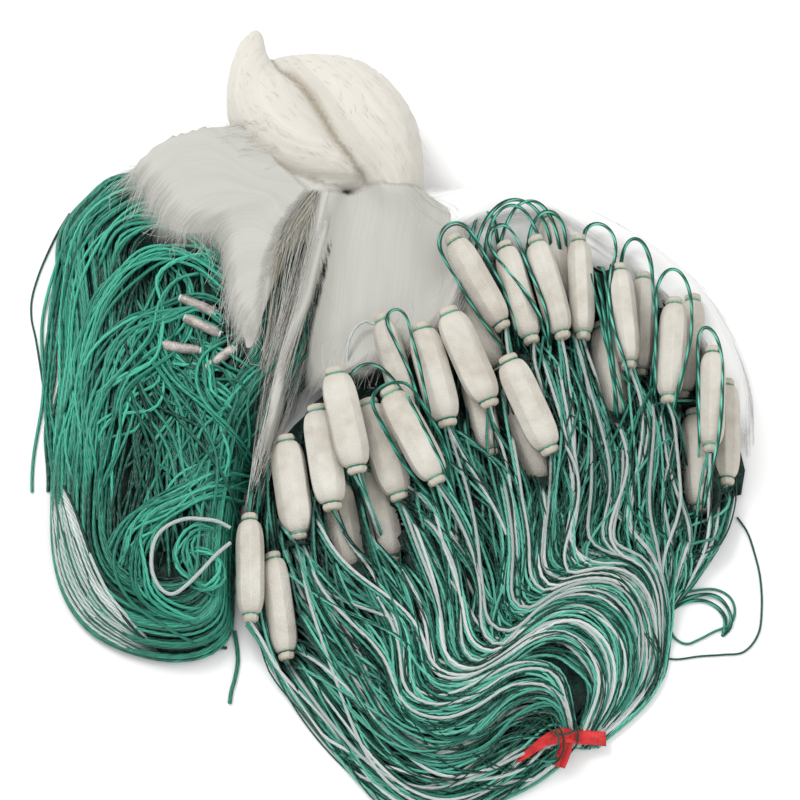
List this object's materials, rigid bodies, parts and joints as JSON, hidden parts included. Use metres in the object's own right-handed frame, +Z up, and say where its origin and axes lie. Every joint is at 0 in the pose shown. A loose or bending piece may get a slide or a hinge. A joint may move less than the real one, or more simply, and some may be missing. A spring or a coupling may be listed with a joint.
{
  "type": "fishing net",
  "caption": "Gill net bundled for stowing: knotted pale netting, a hank of green lead line and a tied fan of float line with foam floats.",
  "frame": {"origin": "middle of the bundle's footprint, on the surface it lies on, measured without the free cords", "axes": "+Z up from the surface, +Y towards the knot in the netting, +X towards the float line's right edge"},
  "size_m": [0.4524, 0.514, 0.062],
  "materials": {
    "netting_monofilament": "fine nylon monofilament netting, gathered, satin",
    "float_line": "twisted mint, white and dark green twine, satin",
    "lead_line": "glossy green braided line",
    "float_foam": "off-white closed-cell foam, matte",
    "sinker_lead": "dull cast lead",
    "ribbon": "red woven ribbon",
    "white_cord": "white laid cord",
    "dark_twine": "thin dark green twine"
  },
  "bodies": {
    "root": {"float_01": "float_foam", "float_02": "float_foam", "float_03": "float_foam", "float_04": "float_foam", "float_05": "float_foam", "float_06": "float_foam", "float_07": "float_foam", "float_08": "float_foam", "float_09": "float_foam", "float_10": "float_foam", "float_11": "float_foam", "float_12": "float_foam", "float_13": "float_foam", "float_14": "float_foam", "float_15": "float_foam", "float_16": "float_foam", "float_17": "float_foam", "float_18": "float_foam", "float_19": "float_foam", "float_20": "float_foam", "float_21": "float_foam", "float_22": "float_foam", "float_23": "float_foam", "float_24": "float_foam", "float_25": "float_foam", "float_26": "float_foam", "float_27": "float_foam", "float_28": "float_foam", "float_29": "float_foam", "sinker_1": "sinker_lead", "sinker_2": "sinker_lead", "sinker_3": "sinker_lead", "sinker_4": "sinker_lead", "netting": "netting_monofilament", "float_line_hank": "float_line", "lead_line_hank": "lead_line", "tie_ribbon": "ribbon", "white_cord_loop": "white_cord", "stray_loop_left": "dark_twine", "stray_loop_right": "dark_twine", "stray_curl_right": "float_line", "loose_end_green": "lead_line"}
  },
  "joints": []
}
